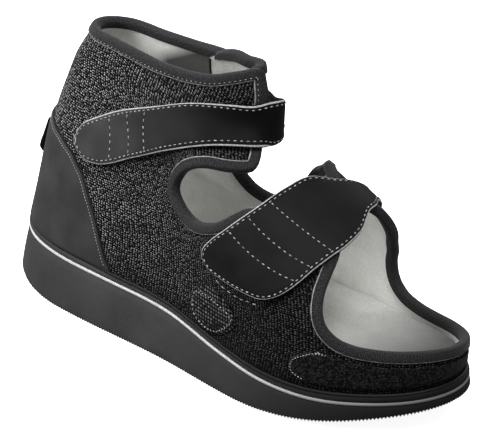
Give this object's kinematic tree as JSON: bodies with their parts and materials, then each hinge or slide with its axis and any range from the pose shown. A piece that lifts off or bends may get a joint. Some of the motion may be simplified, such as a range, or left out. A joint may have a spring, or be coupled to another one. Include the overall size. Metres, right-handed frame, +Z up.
{
  "type": "therapy shoe",
  "caption": "Ankle-high open-toed therapy shoe for the right foot: rocker sole, mesh upper open over the instep, tongue, wide ankle strap and forefoot strap.",
  "frame": {"origin": "on the floor under the middle of the sole's flat", "axes": "+X towards the toe, +Y towards the inner (medial) side of the foot, +Z up"},
  "size_m": [0.3045, 0.1115, 0.1727],
  "materials": {
    "outsole_rubber": "fine grain, matt",
    "stripe_rubber": "smooth, matt",
    "footbed": "short fleece over a firm footbed",
    "upper_mesh": "coarse woven mesh outside, fleece lining inside",
    "counter_synthetic": "smooth synthetic leather, semi-matt",
    "strap_synthetic": "smooth synthetic leather, semi-matt",
    "loop_tape": "looped pile tape",
    "binding_tape": "close-woven binding tape",
    "tongue_cloth": "mesh outside, fleece inside"
  },
  "bodies": {
    "root": {"sole": "outsole_rubber", "sole_stripe": "stripe_rubber", "insole": "footbed", "upper": "upper_mesh", "heel_counter": "counter_synthetic", "toe_loop_band": "loop_tape", "instep_landing_patch": "loop_tape", "ankle_landing_patch": "loop_tape", "ankle_strap": "strap_synthetic", "forefoot_strap": "strap_synthetic", "tongue": "tongue_cloth", "tongue_binding": "binding_tape", "collar_binding": "binding_tape", "instep_binding_lateral": "binding_tape", "instep_binding_medial": "binding_tape", "toe_binding": "binding_tape", "heel_pull_tab": "binding_tape"}
  },
  "joints": []
}
